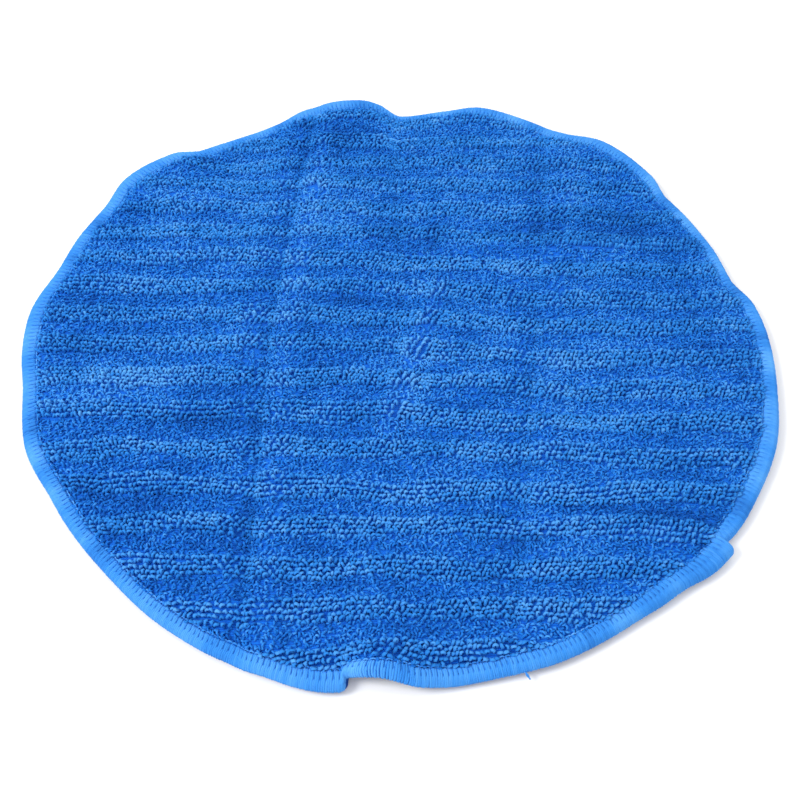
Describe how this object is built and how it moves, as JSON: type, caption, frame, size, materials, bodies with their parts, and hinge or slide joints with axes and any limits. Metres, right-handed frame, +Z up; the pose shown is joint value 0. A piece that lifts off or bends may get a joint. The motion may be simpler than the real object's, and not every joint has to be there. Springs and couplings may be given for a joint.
{
  "type": "polishing pad",
  "caption": "Round terry cloth polishing pad with banded loops, a foam core, a hook-and-loop backing and an overlocked edge, folding in thirds.",
  "frame": {"origin": "middle of the backing's underside, on the surface the pad lies on", "axes": "+Z up through the pad, out of its loops; +X along the bands of loops; the two creases run along Y"},
  "size_m": [0.33, 0.33, 0.008],
  "materials": {
    "backing": "matt brushed loop cloth",
    "core": "matt open-cell foam",
    "ground": "matt knitted microfibre",
    "fine_loops": "matt fine terry loops",
    "coarse_loops": "matt twisted terry loops",
    "needle_thread": "satin spun polyester thread",
    "looper_thread": "satin textured polyester thread"
  },
  "bodies": {
    "centre_third": {"backing_centre": "backing", "core_centre": "core", "ground_centre": "ground", "fine_loops_centre": "fine_loops", "coarse_loops_centre": "coarse_loops", "needle_thread_centre": "needle_thread", "upper_looper_centre": "looper_thread", "lower_looper_centre": "looper_thread", "thread_tail": "looper_thread"},
    "left_third": {"backing_left": "backing", "core_left": "core", "ground_left": "ground", "fine_loops_left": "fine_loops", "coarse_loops_left": "coarse_loops", "needle_thread_left": "needle_thread", "upper_looper_left": "looper_thread", "lower_looper_left": "looper_thread"},
    "right_third": {"backing_right": "backing", "core_right": "core", "ground_right": "ground", "fine_loops_right": "fine_loops", "coarse_loops_right": "coarse_loops", "needle_thread_right": "needle_thread", "upper_looper_right": "looper_thread", "lower_looper_right": "looper_thread", "overlap_patch": "looper_thread"}
  },
  "joints": [
    {"name": "left_fold", "type": "hinge", "parent": "centre_third", "child": "left_third", "pos_m": [-0.057, 0, 0.01], "axis": [0, 1, 0], "range_deg": [0, 179]},
    {"name": "right_fold", "type": "hinge", "parent": "centre_third", "child": "right_third", "pos_m": [0.057, 0, 0.01694], "axis": [0, -1, 0], "range_deg": [0, 179]}
  ]
}
